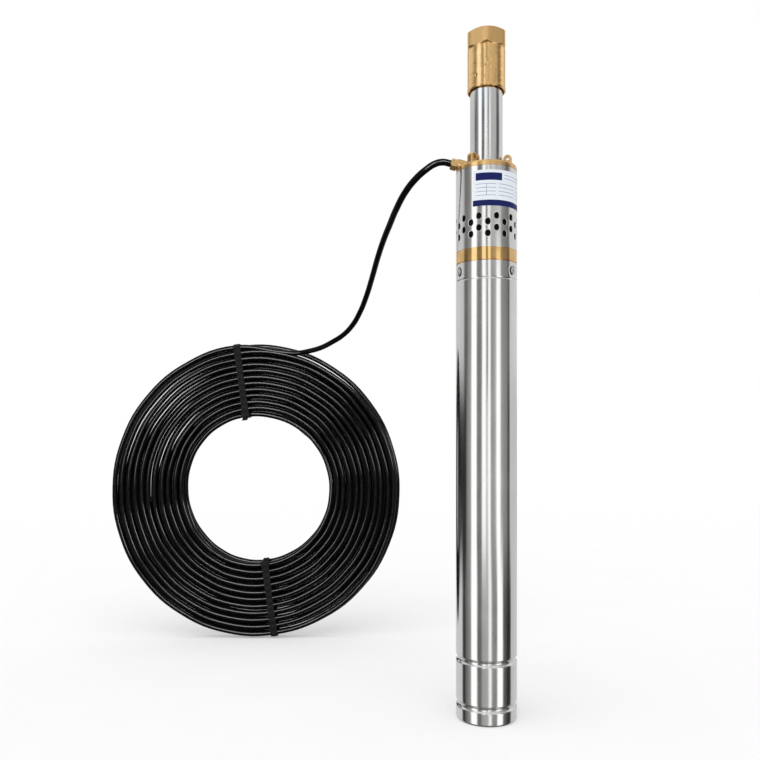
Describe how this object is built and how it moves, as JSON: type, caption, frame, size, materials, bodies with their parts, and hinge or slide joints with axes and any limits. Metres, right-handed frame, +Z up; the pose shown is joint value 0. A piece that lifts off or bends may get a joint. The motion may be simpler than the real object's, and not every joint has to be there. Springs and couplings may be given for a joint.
{
  "type": "borehole submersible pump",
  "caption": "Slim upright screw-type borehole pump: brass outlet on a steel tube, perforated strainer, long steel motor barrel, black cable in a tied coil.",
  "frame": {"origin": "centre of the base of the motor barrel", "axes": "+Z up the pump axis, -Y to the front of the picture, the cable leaves towards -X and lies behind towards +Y"},
  "size_m": [0.6289, 0.4219, 0.845],
  "materials": {
    "polished_stainless": "polished rolled stainless sheet",
    "machined_brass": "cast and machined brass",
    "fastener_steel": "stainless fastener",
    "shaft_steel": "ground steel",
    "hard_chrome": "hard chrome plate",
    "cast_aluminium": "die cast",
    "grey_iron": "primed casting",
    "lamination": "stacked electrical sheet",
    "copper_winding": "varnished copper wire",
    "bearing_steel": "ground and polished",
    "cage_brass": "pressed brass",
    "black_rubber": "moulded rubber",
    "seal_ceramic": "lapped ceramic",
    "seal_carbon": "lapped carbon",
    "capacitor_case": "moulded case",
    "cable_sheath": "smooth black sheath",
    "tie_nylon": "black nylon strap"
  },
  "bodies": {
    "housing": {"motor_barrel": "polished_stainless", "bottom_cover": "grey_iron", "oil_plug": "machined_brass", "bottom_oring": "black_rubber", "capacitor": "capacitor_case", "lower_bracket": "cast_aluminium", "stator_core": "lamination", "stator_winding": "copper_winding", "upper_bracket": "cast_aluminium", "lower_bearing_outer": "bearing_steel", "upper_bearing_outer": "bearing_steel", "inlet_seat": "machined_brass", "seat_oring": "black_rubber", "barrel_screws": "fastener_steel", "seal_seat": "seal_ceramic", "pump_stator": "black_rubber", "pump_tube": "polished_stainless", "outlet": "machined_brass", "strainer": "polished_stainless", "top_cover": "machined_brass", "eye_screws": "machined_brass", "gland_nut": "machined_brass", "gland_seal": "black_rubber", "motor_lead": "cable_sheath", "lead_grommet": "black_rubber", "cable_run": "cable_sheath", "cable_coil": "cable_sheath", "coil_ties": "tie_nylon"},
    "shaft": {"motor_shaft": "shaft_steel", "rotor_core": "lamination", "rotor_end_rings": "cast_aluminium", "lower_bearing_inner": "bearing_steel", "upper_bearing_inner": "bearing_steel", "seal_ring": "seal_carbon", "seal_bellows": "black_rubber", "sand_slinger": "black_rubber", "shaft_coupling": "shaft_steel", "coupling_pins": "fastener_steel"},
    "drive_rod": {"drive_rod": "shaft_steel"},
    "screw_rotor": {"rotor_head": "shaft_steel", "rotor_pins": "fastener_steel", "screw_rotor": "hard_chrome"},
    "upper_ball_set": {"upper_bearing_balls": "bearing_steel", "upper_bearing_cage": "cage_brass"},
    "lower_ball_set": {"lower_bearing_balls": "bearing_steel", "lower_bearing_cage": "cage_brass"}
  },
  "joints": [
    {"name": "shaft_spin", "type": "hinge", "parent": "housing", "child": "shaft", "pos_m": [0, 0, 0.3], "axis": [0, 0, 1], "continuous": true},
    {"name": "rod_orbit", "type": "hinge", "parent": "housing", "child": "drive_rod", "pos_m": [0, 0, 0.6], "axis": [0, 0, 1], "continuous": true},
    {"name": "screw_spin", "type": "hinge", "parent": "drive_rod", "child": "screw_rotor", "pos_m": [0.003, 0, 0.66], "axis": [0, 0, 1], "continuous": true},
    {"name": "upper_ball_roll", "type": "hinge", "parent": "housing", "child": "upper_ball_set", "pos_m": [0, 0, 0.4975], "axis": [0, 0, 1], "continuous": true},
    {"name": "lower_ball_roll", "type": "hinge", "parent": "housing", "child": "lower_ball_set", "pos_m": [0, 0, 0.089], "axis": [0, 0, 1], "continuous": true}
  ],
  "couplings": [
    {"joint": "rod_orbit", "follows": "shaft_spin", "ratio": -1},
    {"joint": "screw_spin", "follows": "shaft_spin", "ratio": 2},
    {"joint": "upper_ball_roll", "follows": "shaft_spin", "ratio": 0.382},
    {"joint": "lower_ball_roll", "follows": "shaft_spin", "ratio": 0.3659}
  ]
}
